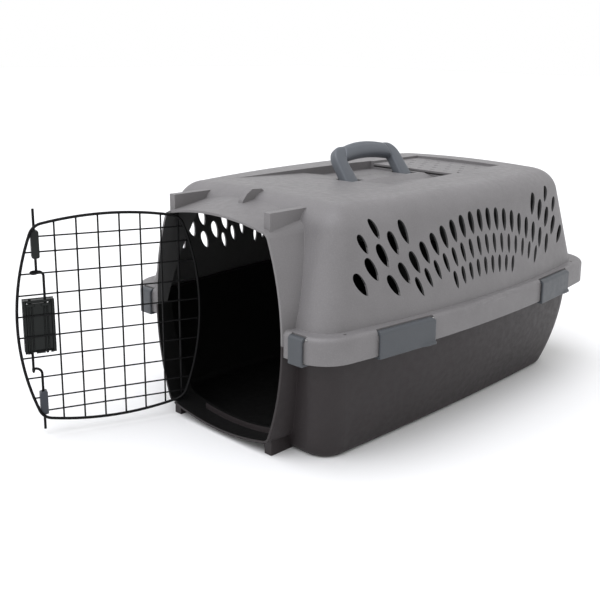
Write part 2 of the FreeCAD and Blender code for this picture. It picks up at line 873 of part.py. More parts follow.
def rounded_path(points, radius):
    """Straight runs joined by arcs that touch them."""
    edges, start = [], points[0]
    for before, corner, after in zip(points, points[1:], points[2:]):
        arriving = (corner - before).normalize()
        leaving = (after - corner).normalize()
        half_turn = arriving.getAngle(leaving) / 2
        reach = radius * math.tan(half_turn)
        arc_start, arc_end = corner - arriving * reach, corner + leaving * reach
        inwards = (leaving - arriving).normalize()
        middle = corner + inwards * (radius / math.cos(half_turn) - radius)
        edges += [Part.LineSegment(start, arc_start), Part.Arc(arc_start, middle, arc_end)]
        start = arc_end
    edges.append(Part.LineSegment(start, points[-1]))
    return Part.Wire([edge.toShape() for edge in edges])


def swept_wire(name, path, radius):
    """A round wire along a path drawn on the closed door."""
    path.Placement = DOOR.multiply(path.Placement)
    spine = doc.addObject("Part::Feature", f"{name}_path")
    spine.Shape = path
    circle = doc.addObject("Part::Circle", f"{name}_section")
    bind(circle, Radius=radius)
    first = path.OrderedEdges[0]
    start = first.valueAt(first.FirstParameter)
    along = first.tangentAt(first.FirstParameter)
    circle.Placement = Placement(start, Rotation(Z_AXIS, along))
    sweep = doc.addObject("Part::Sweep", name)
    sweep.Sections = [circle]
    sweep.Spine = (spine, [f"Edge{step}" for step in range(1, len(path.Edges) + 1)])
    sweep.Solid = True
    sweep.Transition = "Right corner"
    return keep(sweep, name)


def straight_wire(name, radius, length, x, layer, z, turn=None):
    wire = doc.addObject("Part::Cylinder", name)
    bind(wire, Radius=radius)
    wire.Height = length
    return keep(place_on_door(wire, x, layer, z, turn), name)


def cross_wire_heights():
    steps = range(-CROSS_WIRES_BELOW, CROSS_WIRES_ABOVE + 1)
    ladder = [CROSS_WIRE_MIDDLE + CROSS_WIRE_PITCH * step for step in steps]
    return sorted([*ladder, *EXTRA_CROSS_WIRES])


def make_door_wires():
    inside = -value("wall + door_gap")
    outline = tunnel_outline(0, inside, corner=value("door_corner_radius"))
    outline.translate(door_point(0, value("frame_wire_layer"), 0))
    swept_wire("door_frame_wire", outline, "frame_wire_radius")
    along_x = Rotation(Y_AXIS, 90)
    for number, z in enumerate(cross_wire_heights(), start=1):
        half = barrel_half_width(z, inside) + 0.5
        layer = value("cross_wire_layer")
        straight_wire(f"cross_wire_{number}", "cross_wire_radius", 2 * half, -half, layer, z, along_x)
    places = sorted([*UPRIGHT_POSITIONS, *(-x for x in UPRIGHT_POSITIONS)])
    for number, x in enumerate(places, start=1):
        low = barrel_height(x, False, inside) + value("frame_wire_radius")
        high = barrel_height(x, True, inside) - value("frame_wire_radius")
        layer = value("upright_wire_layer")
        straight_wire(f"upright_wire_{number}", "upright_wire_radius", high - low, x, layer, low)
    rod_length = value("hinge_rod_top - hinge_rod_bottom")
    hinge_x = -value("hinge_x")
    straight_wire("hinge_rod", "rod_radius", rod_length, hinge_x, 0, value("hinge_rod_bottom"))


def door_box(name, left, right, outer, inner, bottom, top):
    """A block on the door between six planes, each a sum of sheet names."""
    block = doc.addObject("Part::Box", name)
    spans = {"Length": (left, right), "Width": (outer, inner), "Height": (bottom, top)}
    bind(block, **{side: f"({end}) - ({start})" for side, (start, end) in spans.items()})
    return place_on_door(block, value(left), value(outer), value(bottom))


def rod_hole(name, x, layer, radius):
    hole = doc.addObject("Part::Cylinder", name)
    bind(hole, Radius=radius)
    hole.Height = 400
    return place_on_door(hole, value(x), value(layer), -50)


def cut_from(name, base, tools):
    """The base less the tools, as one piece of the carrier."""
    together = tools[0]
    if len(tools) > 1:
        together = doc.addObject("Part::MultiFuse", f"{name}_tools")
        together.Shapes = tools
    piece = doc.addObject("Part::Cut", name)
    piece.Base, piece.Tool = base, together
    return keep(piece, name)


def make_latch_housing():
    base = door_box(
        "housing_block", "housing_left", "housing_right", "-housing_outer", "housing_inner",
        "housing_bottom", "housing_top",
    )
    tools = [
        door_box(
            "housing_hollow", "housing_left + housing_wall", "housing_right - housing_wall",
            "-housing_outer - 1", "-rod_radius", "housing_bottom + housing_wall",
            "housing_top - housing_wall",
        )
    ]
    for x in ("upper_run_x", "lower_run_x"):
        tools.append(
            door_box(
                f"channel_{x}", f"{x} - channel_half", f"{x} + channel_half", "-latch_layer",
                "housing_inner + 1", "housing_bottom + housing_wall", "housing_top - housing_wall",
            )
        )
        tools.append(rod_hole(f"housing_hole_{x}", x, "-latch_layer", "rod_radius + pin_fit"))
    cut_from("latch_housing", base, tools)
    plate = door_box(
        "cover_plate", "housing_left", "housing_right", "-housing_outer - cover_thickness",
        "-housing_outer", "housing_bottom", "housing_top",
    )
    window = door_box(
        "cover_window", "tab_grip_left - window_margin", "tab_grip_right + window_margin",
        "-housing_outer - cover_thickness - 1", "-housing_outer + 1",
        "lower_tab_bottom - window_margin", "upper_tab_bottom + tab_height + window_margin",
    )
    cut_from("latch_cover", plate, [window])


def make_squeeze_tab(name, x, bottom):
    """A finger tab fixed on one latch rod: a block on the rod, a neck in the housing's channel and
    a wide grip that comes out through the cover's window."""
    top = f"{bottom} + tab_height"
    parts = [
        door_box(f"{name}_block", f"{x} - tab_block_half", f"{x} + tab_block_half", "-tab_face",
                 "-tab_back", bottom, top),
        door_box(f"{name}_neck", f"{x} - tab_neck_half", f"{x} + tab_neck_half", "-tab_back",
                 "tab_neck_inner", bottom, top),
        door_box(f"{name}_grip", "tab_grip_left", "tab_grip_right", "-tab_grip_face", "-tab_face",
                 bottom, top),
    ]
    body = doc.addObject("Part::MultiFuse", f"{name}_body")
    body.Shapes = parts
    cut_from(name, body, [rod_hole(f"{name}_hole", x, "-latch_layer", "rod_radius")])


def make_latch_rods():
    tip_x, layer = value("tip_x"), -value("latch_layer")
    upper_x, lower_x = value("upper_run_x"), value("lower_run_x")
    upper_jog, lower_jog = value("upper_jog"), value("lower_jog")
    slope, bend = 4.5, 4.0
    upper = [
        (tip_x, value("tip_top")),
        (tip_x, upper_jog + slope),
        (upper_x, upper_jog - slope),
        (upper_x, value("housing_bottom - stub")),
    ]
    lower = [
        (tip_x, value("tip_bottom")),
        (tip_x, lower_jog - slope),
        (lower_x, lower_jog + slope),
        (lower_x, value("housing_top + stub")),
    ]
    for name, points in (("upper_latch_rod", upper), ("lower_latch_rod", lower)):
        path = rounded_path([door_point(x, layer, z) for x, z in points], bend)
        swept_wire(name, path, "rod_radius")


def make_latch_springs():
    """A compression spring round each rod, between the housing's far wall and the rod's tab."""
    gap = value("spring_gap")
    spans = (
        ("upper", "upper_run_x", value("housing_bottom + housing_wall"), value("upper_tab_bottom")),
        (
            "lower", "lower_run_x", value("lower_tab_bottom + tab_height"),
            value("housing_top - housing_wall"),
        ),
    )
    wire = value("spring_wire")
    for name, x, low, high in spans:
        length = high - low - 2 * wire - 2 * gap
        helix = Part.makeHelix(length / value("spring_turns"), length, value("spring_radius"))
        start = Vector(value("spring_radius"), 0, 0)
        section = Part.Wire(Part.makeCircle(wire, start, Y_AXIS))
        spring = Part.Wire(helix).makePipeShell([section], True, True)
        place = door_point(value(x), -value("latch_layer"), low + wire + gap)
        spring.Placement = DOOR.multiply(Placement(place, Rotation()))
        keep_shape(f"{name}_latch_spring", spring)


def make_sleeve(name, bottom, top):
    """A guide that clamps two cross wires and lets a latch rod slide through."""
    base = door_box(
        f"{name}_block", "tip_x - sleeve_half_width", "tip_x + sleeve_half_width", "-sleeve_outer",
        "sleeve_inner", bottom, top,
    )
    tools = [rod_hole(f"{name}_hole", "tip_x", "-latch_layer", "rod_radius + pin_fit")]
    for number, z in enumerate(cross_wire_heights()):
        if value(bottom) < z < value(top):
            hole = doc.addObject("Part::Cylinder", f"{name}_wire_{number}")
            bind(hole, Radius="cross_wire_radius")
            hole.Height = 30
            layer = value("cross_wire_layer")
            tools.append(place_on_door(hole, value("tip_x") - 15, layer, z, Rotation(Y_AXIS, 90)))
    cut_from(name, base, tools)


# ---------------------------------------------------------------- handle


HANDLE = Placement(Vector(0, 0, value("handle_pivot_z")), Rotation(Y_AXIS, -value("handle_lean")))


def make_handle_frame():
    """Two legs joined by the bar inside the grip, drawn upright about the pivot."""
    body = new_body("handle_frame")
    bar = new_sketch(body, "YZ_Plane")
    add_rectangle(bar, "-foot_y", "foot_y", "core_bottom", "core_top")
    pad(body, bar, "core_thickness")
    legs = new_sketch(body, "YZ_Plane")
    outline = [
        ("grip_half_length", "-foot_radius"),
        ("foot_y + foot_half_width", "-foot_radius"),
        ("foot_y + foot_half_width", "handle_shoulder - 6"),
        ("foot_y + foot_half_width - 6", "handle_shoulder + 9"),
        ("foot_y - 1", "handle_crown - 3"),
        ("grip_half_length", "handle_crown - 1"),
    ]
    add_polygon(legs, outline)
    add_polygon(legs, [(negated(y), z) for y, z in outline])
    pad(body, legs, "leg_half_thickness + leg_half_thickness")
    bore = new_sketch(body, "XZ_Plane")
    add_circle(bore, "0", "0", "handle_pin_radius + pin_fit")
    pocket(body, bore, "foot_y + foot_y + foot_y")
    body.Placement = HANDLE


def make_handle_grip():
    body = new_body("handle_grip")
    profile = new_sketch(body, "YZ_Plane")
    outline = [
        ("-grip_half_length", "handle_under"),
        ("grip_half_length", "handle_under"),
        ("grip_half_length", "handle_crown - 1"),
        ("18", "handle_crown + 0.5"),
        ("-18", "handle_crown + 0.5"),
        ("-grip_half_length", "handle_crown - 1"),
    ]
    add_polygon(profile, outline)
    pad(body, profile, "grip_half_thickness + grip_half_thickness")
    core = new_sketch(body, "YZ_Plane")
    add_rectangle(core, "-foot_y", "foot_y", "core_bottom", "core_top")
    pocket(body, core, "core_thickness")
    body.Placement = HANDLE


# ---------------------------------------------------------------- rim clips


def make_clip(name, place, turn, length):
    """A rim clip about its pivot: barrel and web at the top, plate, hook under the rim and a lip."""
    body = new_body(name)
    outer = "clip_pivot_inset + clip_stand_off + clip_plate"
    hook_bottom = "clip_hook_bottom - clip_pivot_z"
    plate = new_sketch(body, "XZ_Plane")
    outline = [
        ("0", "clip_barrel_radius"),
        (outer, "clip_barrel_radius"),
        (outer, hook_bottom),
        ("clip_pivot_inset - clip_hook_inset", hook_bottom),
        ("clip_pivot_inset - clip_hook_inset", "clip_hook_top - clip_pivot_z"),
        ("clip_pivot_inset + clip_stand_off", "clip_hook_top - clip_pivot_z"),
        ("clip_pivot_inset + clip_stand_off", "-clip_barrel_radius"),
        ("0", "-clip_barrel_radius"),
    ]
    add_polygon(plate, outline)
    barrel = new_sketch(body, "XZ_Plane")
    add_circle(barrel, "0", "0", "clip_barrel_radius")
    pad(body, plate, length)
    pad(body, barrel, length)
    if length != "front_clip_length":
        lip = new_sketch(body, "XZ_Plane")
        lip_top = f"{hook_bottom} + clip_lip_height"
        add_rectangle(lip, f"{outer} - 1", f"{outer} + clip_lip", hook_bottom, lip_top)
        rear_side = 1 if name.startswith("near") else -1
        offset = -rear_side * value(length) * (1 - value("clip_lip_share")) / 2
        lip.AttachmentOffset = Placement(Vector(0, 0, offset), Rotation())
        pad(body, lip, f"{length} * clip_lip_share")
    bore = new_sketch(body, "XZ_Plane")
    add_circle(bore, "0", "0", "clip_pin_radius + pin_fit")
    pocket(body, bore, "200")
    body.Placement = clip_placement(place, turn)


# ---------------------------------------------------------------- build and export


def check_document():
    """Stops if any object has failed or any piece has no valid shape."""
    doc.recompute()
    failed = [item.Name for item in doc.Objects if {"Invalid", "Error"} & set(item.State)]
    if failed:
        raise RuntimeError(f"failed objects: {failed}")
    for name, feature in NODES.items():
        if feature.Shape.isNull() or not feature.Shape.isValid() or not feature.Shape.Solids:
            raise RuntimeError(f"{name} has no valid solid")


def main():
    keep_shape("upper_shell", make_upper_shell())
    keep_shape("lower_shell", make_lower_shell())
    for name, place, turn, length in clip_places():
        make_clip(name, place, turn, length)
    for name, pin in placed_clip_pins().items():
        keep_shape(f"{name}_pin", pin)
    make_handle_frame()
    make_handle_grip()
    for name, pin in handle_pin_shapes().items():
        keep_shape(f"{name}_handle_pin", pin)
    make_door_wires()
    make_latch_housing()
    make_latch_rods()
    make_squeeze_tab("upper_squeeze_tab", "upper_run_x", "upper_tab_bottom")
    make_squeeze_tab("lower_squeeze_tab", "lower_run_x", "lower_tab_bottom")
    make_latch_springs()
    make_sleeve("upper_rod_sleeve", "upper_sleeve_bottom", "upper_sleeve_top")
    make_sleeve("lower_rod_sleeve", "lower_sleeve_bottom", "lower_sleeve_top")
    check_document()
    os.makedirs("parts", exist_ok=True)
    for name, feature in NODES.items():
        feature.Shape.exportStep(f"parts/{name}.step")
        print(f"{name}: {feature.Shape.Volume:.0f} mm3, {len(feature.Shape.Solids)} solid(s)")


main()
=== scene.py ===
"""Looks of the pet transport carrier: moulded plastic, coated wire, refined pieces and a studio.

Metres, in the CAD model's frame: the door end faces -Y, +Z is up, the origin is on the floor.
"""

import json
import math

import bmesh
import bpy
from mathutils import Euler, Matrix, Vector
from mathutils.bvhtree import BVHTree


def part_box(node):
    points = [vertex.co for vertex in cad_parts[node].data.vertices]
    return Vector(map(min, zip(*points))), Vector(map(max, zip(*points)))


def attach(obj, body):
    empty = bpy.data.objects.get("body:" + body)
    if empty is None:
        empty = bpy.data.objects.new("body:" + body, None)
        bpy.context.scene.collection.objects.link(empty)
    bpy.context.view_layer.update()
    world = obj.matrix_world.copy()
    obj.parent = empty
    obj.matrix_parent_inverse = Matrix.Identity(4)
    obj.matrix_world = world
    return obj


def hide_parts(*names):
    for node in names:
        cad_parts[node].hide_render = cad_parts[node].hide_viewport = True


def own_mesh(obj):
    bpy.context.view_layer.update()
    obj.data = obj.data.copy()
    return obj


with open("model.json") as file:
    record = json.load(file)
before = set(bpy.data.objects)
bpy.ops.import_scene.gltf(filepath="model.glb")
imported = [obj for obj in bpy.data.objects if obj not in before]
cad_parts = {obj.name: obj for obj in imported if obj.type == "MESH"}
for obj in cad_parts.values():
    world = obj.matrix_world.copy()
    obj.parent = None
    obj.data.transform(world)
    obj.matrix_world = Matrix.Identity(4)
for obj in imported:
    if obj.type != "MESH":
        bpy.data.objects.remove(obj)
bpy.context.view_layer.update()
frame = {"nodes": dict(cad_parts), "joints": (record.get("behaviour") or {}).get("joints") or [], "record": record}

NODES = frame["nodes"]
MM = 0.001


def joint_named(name):
    return next(joint for joint in frame["joints"] if joint["name"] == name)


# ---------------------------------------------------------------- shader graphs


def srgb(red, green, blue):
    """Linear colour of an sRGB one given in 0 to 255."""
    channels = []
    for value in (red, green, blue):
        share = value / 255
        low = share <= 0.04045
        channels.append(share / 12.92 if low else ((share + 0.055) / 1.055) ** 2.4)
    return (*channels, 1.0)


def scaled(colour, factor):
    return tuple(channel * factor for channel in colour[:3]) + (1.0,)


class Graph:
    """A material's node tree, built up one node at a time."""

    def __init__(self, name):
        self.material = bpy.data.materials.new(name)
        self.material.use_nodes = True
        self.tree = self.material.node_tree
        self.shader = self.tree.nodes["Principled BSDF"]
        self.place = self.node("ShaderNodeTexCoord").outputs["Object"]

    def node(self, kind, **settings):
        made = self.tree.nodes.new(kind)
        for name, value in settings.items():
            setattr(made, name, value)
        return made

    def link(self, source, target):
        self.tree.links.new(source, target)

    def noise(self, size, detail=3.0, roughness=0.55, vector=None):
        """Noise whose features are about size metres across, from 0 to 1."""
        made = self.node("ShaderNodeTexNoise")
        self.link(vector or self.place, made.inputs["Vector"])
        made.inputs["Scale"].default_value = 1.0 / size
        made.inputs["Detail"].default_value = detail
        made.inputs["Roughness"].default_value = roughness
        return made.outputs["Fac"]

    def cells(self, size):
        """Distance to the nearest of scattered points about size metres apart."""
        made = self.node("ShaderNodeTexVoronoi")
        self.link(self.place, made.inputs["Vector"])
        made.inputs["Scale"].default_value = 1.0 / size
        return made.outputs["Distance"]

    def remap(self, value, low, high, to_low, to_high):
        made = self.node("ShaderNodeMapRange")
        self.link(value, made.inputs["Value"])
        names = ("From Min", "From Max", "To Min", "To Max")
        for name, number in zip(names, (low, high, to_low, to_high)):
            made.inputs[name].default_value = number
        return made.outputs["Result"]

    def mix(self, share, first, second):
        """A colour between two; each is a colour or a socket."""
        made = self.node("ShaderNodeMix", data_type="RGBA")
        self.link(share, made.inputs["Factor"])
        colour_sockets = [socket for socket in made.inputs if socket.type == "RGBA"]
        for socket, value in zip(colour_sockets, (first, second)):
            if isinstance(value, bpy.types.NodeSocket):
                self.link(value, socket)
            else:
                socket.default_value = value
        return next(socket for socket in made.outputs if socket.type == "RGBA")

    def attribute(self, name):
        return self.node("ShaderNodeAttribute", attribute_name=name).outputs["Fac"]

    def soft_edges(self, radius):
        """The normal rounded off near edges, and a share that is 1 on the edges themselves."""
        rounded = self.node("ShaderNodeBevel", samples=4)
        rounded.inputs["Radius"].default_value = radius
        flat = self.node("ShaderNodeNewGeometry").outputs["Normal"]
        agreement = self.node("ShaderNodeVectorMath", operation="DOT_PRODUCT")
        self.link(rounded.outputs["Normal"], agreement.inputs[0])
        self.link(flat, agreement.inputs[1])
        edge = self.remap(agreement.outputs["Value"], 0.97, 0.8, 0.0, 1.0)
        return rounded.outputs["Normal"], edge

    def bump(self, height, distance, strength=1.0, below=None):
        made = self.node("ShaderNodeBump")
        self.link(height, made.inputs["Height"])
        made.inputs["Distance"].default_value = distance
        made.inputs["Strength"].default_value = strength
        if below:
            self.link(below, made.inputs["Normal"])
        return made.outputs["Normal"]

    def finish(self, colour=None, roughness=None, normal=None, **numbers):
        for name, socket in (("Base Color", colour), ("Roughness", roughness), ("Normal", normal)):
            if socket:
                self.link(socket, self.shader.inputs[name])
        for name, number in numbers.items():
            self.shader.inputs[name.replace("_", " ")].default_value = number
        return self.material


def grained_plastic(name, colour, grain, depth, rough, painted_grain_shading=0.0, inside=None, gloss=0.5):
    """Moulded plastic with a fine etched grain, slow colour drift, painted highlights on the grain's crests
    and edges and painted shade in its hollows. inside is painted shade: a darker colour for faces that look into
    the cabin."""
    graph = Graph(name)
    drift = graph.remap(graph.noise(60 * MM, detail=2.0), 0.3, 0.7, 0.0, 1.0)
    tint = graph.mix(drift, scaled(colour, 0.94), scaled(colour, 1.06))
    crests = graph.noise(grain, detail=4.0, roughness=0.7)
    # painted highlight on the grain's crests and painted shade in its hollows, following the bump's height
    if painted_grain_shading:
        share = graph.remap(crests, 0.52, 0.72, 0.0, painted_grain_shading)
        tint = graph.mix(share, tint, scaled(colour, 1.9))
        share = graph.remap(crests, 0.46, 0.3, 0.0, painted_grain_shading)
        tint = graph.mix(share, tint, scaled(colour, 0.55))
    normal, edge = graph.soft_edges(EDGE_RADIUS)
    # painted highlight: a paler colour along edges, where the rounded normal turns away from the flat one
    tint = graph.mix(graph.remap(edge, 0.0, 1.0, 0.0, 0.5), tint, scaled(colour, 1.7))
    # painted shade: faces that look into the cabin take a darker colour
    if inside:
        tint = graph.mix(graph.attribute("inside"), tint, inside)
    pebbles = graph.cells(grain * 1.6)
    normal = graph.bump(crests, depth, below=normal)
    normal = graph.bump(pebbles, depth * 0.7, 0.6, normal)
    roughness = graph.remap(graph.noise(9 * MM), 0.3, 0.7, rough - 0.06, rough + 0.06)
    return graph.finish(tint, roughness, normal, Specular_IOR_Level=gloss)


def coated_wire(name, colour, rough):
    """Dark powder coating: slight orange peel and dull rubbed streaks."""
    graph = Graph(name)
    rubbed = graph.remap(graph.noise(7 * MM, detail=5.0), 0.5, 0.75, 0.0, 1.0)
    tint = graph.mix(rubbed, colour, scaled(colour, 2.4))
    normal = graph.bump(graph.noise(0.6 * MM), 0.05 * MM)
    roughness = graph.remap(graph.noise(3 * MM), 0.3, 0.7, rough - 0.08, rough + 0.1)
    return graph.finish(tint, roughness, normal, Specular_IOR_Level=0.14)


def spring_steel(name):
    """Bright drawn wire with fine scratches."""
    graph = Graph(name)
    normal = graph.bump(graph.noise(0.25 * MM, detail=5.0), 0.02 * MM)
    roughness = graph.remap(graph.noise(2 * MM), 0.3, 0.7, 0.25, 0.42)
    tint = graph.mix(graph.noise(5 * MM), srgb(170, 170, 168), srgb(200, 200, 198))
    return graph.finish(tint, roughness, normal, Metallic=1.0)


def floor_paint(name):
    """Matt pale studio floor."""
    graph = Graph(name)
    tint = graph.mix(graph.noise(0.8, detail=2.0), srgb(228, 228, 228), srgb(233, 233, 233))
    return graph.finish(tint, None, graph.bump(graph.noise(4 * MM), 0.02 * MM), Roughness=0.85)


EDGE_RADIUS = 0.9 * MM
UPPER_GREY = srgb(109, 107, 108)
LOWER_GREY = srgb(38, 33, 34)
CLIP_GREY = srgb(67, 70, 74)
HANDLE_GREY = srgb(82, 86, 92)
LATCH_BLACK = srgb(20, 23, 22)
SLEEVE_BLUE = srgb(52, 56, 63)
WIRE_BLACK = srgb(8, 8, 9)
# painted shade: the darker colours of the shells' faces that look into the cabin
UPPER_PAINTED_SHADE = srgb(62, 62, 62)
LOWER_PAINTED_SHADE = srgb(5, 5, 5)


def make_materials():
    return {
        "upper_shell_plastic": grained_plastic(
            "upper shell plastic", UPPER_GREY, 1.3 * MM, 0.14 * MM, 0.5,
            painted_grain_shading=0.22, inside=UPPER_PAINTED_SHADE, gloss=0.35,
        ),
        "lower_shell_plastic": grained_plastic(
            "lower shell plastic", LOWER_GREY, 1.2 * MM, 0.1 * MM, 0.5,
            painted_grain_shading=0.16, inside=LOWER_PAINTED_SHADE, gloss=0.3,
        ),
        "clip_plastic": grained_plastic(
            "clip plastic", CLIP_GREY, 1.0 * MM, 0.05 * MM, 0.42, painted_grain_shading=0.08, gloss=0.35
        ),
        "handle_plastic": grained_plastic(
            "handle plastic", HANDLE_GREY, 1.0 * MM, 0.05 * MM, 0.42, painted_grain_shading=0.08, gloss=0.4
        ),
        "latch_plastic": grained_plastic(
            "latch plastic", LATCH_BLACK, 0.8 * MM, 0.04 * MM, 0.4, gloss=0.22
        ),
        "dark_sleeve_plastic": grained_plastic(
            "dark sleeve plastic", LATCH_BLACK, 0.8 * MM, 0.04 * MM, 0.38, gloss=0.25
        ),
        "pale_sleeve_plastic": grained_plastic(
            "pale sleeve plastic", SLEEVE_BLUE, 0.8 * MM, 0.04 * MM, 0.38, gloss=0.35
        ),
        "coated_wire": coated_wire("coated wire", WIRE_BLACK, 0.38),
        "spring_steel": spring_steel("spring steel"),
        "pin_steel": spring_steel("pin steel"),
    }


MATERIALS = make_materials()
SLOTS = {entry["node"]: entry["material_slot"] for entry in frame["record"]["subparts"]}


def dress(piece, slot):
    """Gives a piece one material, the one made for the record's slot named slot."""
    piece.data.materials.clear()
    piece.data.materials.append(MATERIALS[slot])


def dress_nodes():
    for name, node in NODES.items():
        node.data.materials.clear()
        node.data.materials.append(MATERIALS[SLOTS[name]])


# ---------------------------------------------------------------- shells


# A box that lies well inside the cabin's walls.
CABIN_LOW = (-120 * MM, -200 * MM, 30 * MM)
CABIN_HIGH = (120 * MM, 200 * MM, 255 * MM)


def faces_cabin(tree, centre, normal):
    """Whether a face looks into the cabin: a point well inside the cabin sees it."""
    start = centre + normal * (0.2 * MM)
    inside = [min(max(place, low), high) for place, low, high in zip(centre, CABIN_LOW, CABIN_HIGH)]
    mid_height, front_y = 150 * MM, -150 * MM
    targets = (inside, (0, inside[1], mid_height), (0, front_y, inside[2]))
    for target in [Vector(place) for place in targets]:
        ray = target - start
        if ray.length < 1 * MM or normal.dot(ray.normalized()) < 0.02:
            continue
        if tree.ray_cast(start, ray.normalized(), ray.length)[0] is None:
            return True
    return False


def refine_shell(node, slot):
    """A copy of a shell whose faces are marked where they look into the cabin, so its material can paint shade on
    them.
    """
    mesh = NODES[node].data.copy()
    piece = bpy.data.objects.new(f"{node}_skin", mesh)
    bpy.context.scene.collection.objects.link(piece)
    shape = bmesh.new()
    shape.from_mesh(mesh)
    tree = BVHTree.FromBMesh(shape)
    marks = [
        1.0 if faces_cabin(tree, face.calc_center_median(), face.normal) else 0.0
        for face in shape.faces
    ]
    shape.free()
    mesh.attributes.new("inside", "FLOAT", "FACE").data.foreach_set("value", marks)
    dress(piece, slot)
    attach(piece, "carrier")
    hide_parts(node)
    return piece


# ---------------------------------------------------------------- meshes


def link_mesh(name, vertices, faces):
    mesh = bpy.data.meshes.new(name)
    mesh.from_pydata([tuple(v) for v in vertices], [], faces)
    mesh.validate()
    shape = bmesh.new()
    shape.from_mesh(mesh)
    bmesh.ops.recalc_face_normals(shape, faces=shape.faces)
    shape.to_mesh(mesh)
    shape.free()
    mesh.shade_smooth()
    piece = bpy.data.objects.new(name, mesh)
    bpy.context.scene.collection.objects.link(piece)
    return piece


def finished_piece(name, shape):
    """An object from a bmesh, smooth but for its sharp edges."""
    mesh = bpy.data.meshes.new(name)
    shape.to_mesh(mesh)
    shape.free()
    mesh.shade_smooth()
    mesh.set_sharp_from_angle(angle=math.radians(40))
    piece = bpy.data.objects.new(name, mesh)
    bpy.context.scene.collection.objects.link(piece)
    return piece


def skin_rings(name, rings):
    """A closed tube through rings of equally many points, with flat ends."""
    count = len(rings[0])
    vertices = [point for ring in rings for point in ring]
    faces = []
    for row in range(len(rings) - 1):
        for step in range(count):
            after = (step + 1) % count
            low, high = row * count, (row + 1) * count
            faces.append((low + step, low + after, high + after, high + step))
    faces.append(tuple(reversed(range(count))))
    faces.append(tuple(range((len(rings) - 1) * count, len(rings) * count)))
    return link_mesh(name, vertices, faces)


def rounded_section(half_across, half_deep, square, count=40):
    """Points of a superellipse: square 2 is an ellipse, and more is boxier."""
    points = []
    for step in range(count):
        angle = 2 * math.pi * step / count
        across, deep = math.cos(angle), math.sin(angle)
        points.append((
            half_across * math.copysign(abs(across) ** (2 / square), across),
            half_deep * math.copysign(abs(deep) ** (2 / square), deep),
        ))
    return points


def smooth_step(value):
    value = min(max(value, 0.0), 1.0)
    return value * value * (3 - 2 * value)


# ---------------------------------------------------------------- handle


FOOT_Y = 60 * MM
FOOT_HALF_WIDTH = 12.6 * MM
LEG_BOTTOM = -7.6 * MM
LEG_TAPER = 1.4 * MM
LEG_HALF_THICK = 7.8 * MM
BEND_HALF_WIDTH = 11.5 * MM
BAR_HALF_HEIGHT = 8.0 * MM
BEND_START = 32 * MM
BEND_RADIUS = 18 * MM
GRIP_RISE = 4.5 * MM
GRIP_END = 47 * MM
GRIP_HALF_HEIGHT = 12.2 * MM
GRIP_HALF_THICK = 9.4 * MM
GRIP_DROP = 3.0 * MM
GRIP_LIP = 0.9 * MM
CREASE_HEIGHT = 5.4 * MM
CREASE_WIDTH = 0.9 * MM
CREASE_DEPTH = 0.5 * MM


def handle_joint():
    """The handle's pivot and its lean at rest, both read from the frame."""
    joint = joint_named("handle_hinge")
    lean = math.radians(joint["range_deg"][1] / 2)
    return Vector(joint["pos_m"]), Matrix.Rotation(-lean, 4, "Y")


def place_handle(points):
    """Points (thickness, along Y, height over the pivot) of the upright handle, leaned to rest."""
    pivot, turn = handle_joint()
    return [pivot + turn @ Vector(point) for point in points]


def arch_path(steps=14):
    """Middle line of the arch from the front foot to the rear one, with its direction's angle."""
    inner = FOOT_Y - BEND_RADIUS
    half = [(-FOOT_Y, LEG_BOTTOM + (BEND_START - LEG_BOTTOM) * i / 5, 90.0) for i in range(6)]
    for step in range(1, steps + 1):
        angle = math.radians(90 * step / steps)
        y = -inner - BEND_RADIUS * math.cos(angle)
        z = BEND_START + BEND_RADIUS * math.sin(angle)
        half.append((y, z, 90 - math.degrees(angle)))
    for step in range(1, 9):
        share = step / 8
        y = -inner * (1 - share)
        rise = GRIP_RISE * (1 - (1 - share) ** 2)
        slope = math.degrees(math.atan(2 * GRIP_RISE * (1 - share) / inner))
        half.append((y, BEND_START + BEND_RADIUS + rise, slope))
    rear = [(-y, z, -angle) for y, z, angle in reversed(half[:-1])]
    return half + rear


def make_handle_arch():
    """The legs and the bar inside the grip: boxy legs with soft edges that thin into the bar."""
    rings = []
    for y, z, angle in arch_path():
        share = smooth_step((GRIP_END + 9 * MM - abs(y)) / (14 * MM))
        across = BEND_HALF_WIDTH * (1 - share) + BAR_HALF_HEIGHT * share
        if abs(y) > FOOT_Y - 1 * MM:
            across = FOOT_HALF_WIDTH - LEG_TAPER * smooth_step(z / BEND_START)
        square = 4.2 - 1.4 * share
        out = Vector((0, -math.sin(math.radians(angle)), math.cos(math.radians(angle))))
        ring = []
        for a, d in rounded_section(across, LEG_HALF_THICK, square):
            ring.append(Vector((d, y, z)) + out * a)
        rings.append(place_handle(ring))
    piece = skin_rings("handle_arch", rings)
    dress(piece, "handle_plastic")
    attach(piece, "handle")
    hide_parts("handle_frame")


def make_grip_sleeve():
    """A fuller sleeve round the bar with slanted ends and a crease along its upper side."""
    rings = []
    steps = 26
    for step in range(steps + 1):
        share = step / steps
        y = GRIP_END * (2 * share - 1)
        end = min(share, 1 - share) * steps
        lip = GRIP_LIP * (1 - min(end, 1.0))
        rise = GRIP_RISE * (1 - (y / (FOOT_Y - BEND_RADIUS)) ** 2)
        middle = BEND_START + BEND_RADIUS - GRIP_DROP + rise
        ring = []
        for a, d in rounded_section(GRIP_HALF_HEIGHT - lip, GRIP_HALF_THICK - lip, 2.5, 48):
            slant = (0.45 if y < 0 else -0.2) * a * abs(y) / GRIP_END
            crease = 0.0
            if d > 0:
                crease = CREASE_DEPTH * math.exp(-(((a - CREASE_HEIGHT) / CREASE_WIDTH) ** 2))
                crease *= smooth_step((GRIP_END * 0.86 - abs(y)) / (8 * MM))
            ring.append((d - crease, y + slant, middle + a))
        rings.append(place_handle(ring))
    piece = skin_rings("grip_sleeve", rings)
    dress(piece, "handle_plastic")
    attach(piece, "handle")
    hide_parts("handle_grip")


# ---------------------------------------------------------------- rim clips


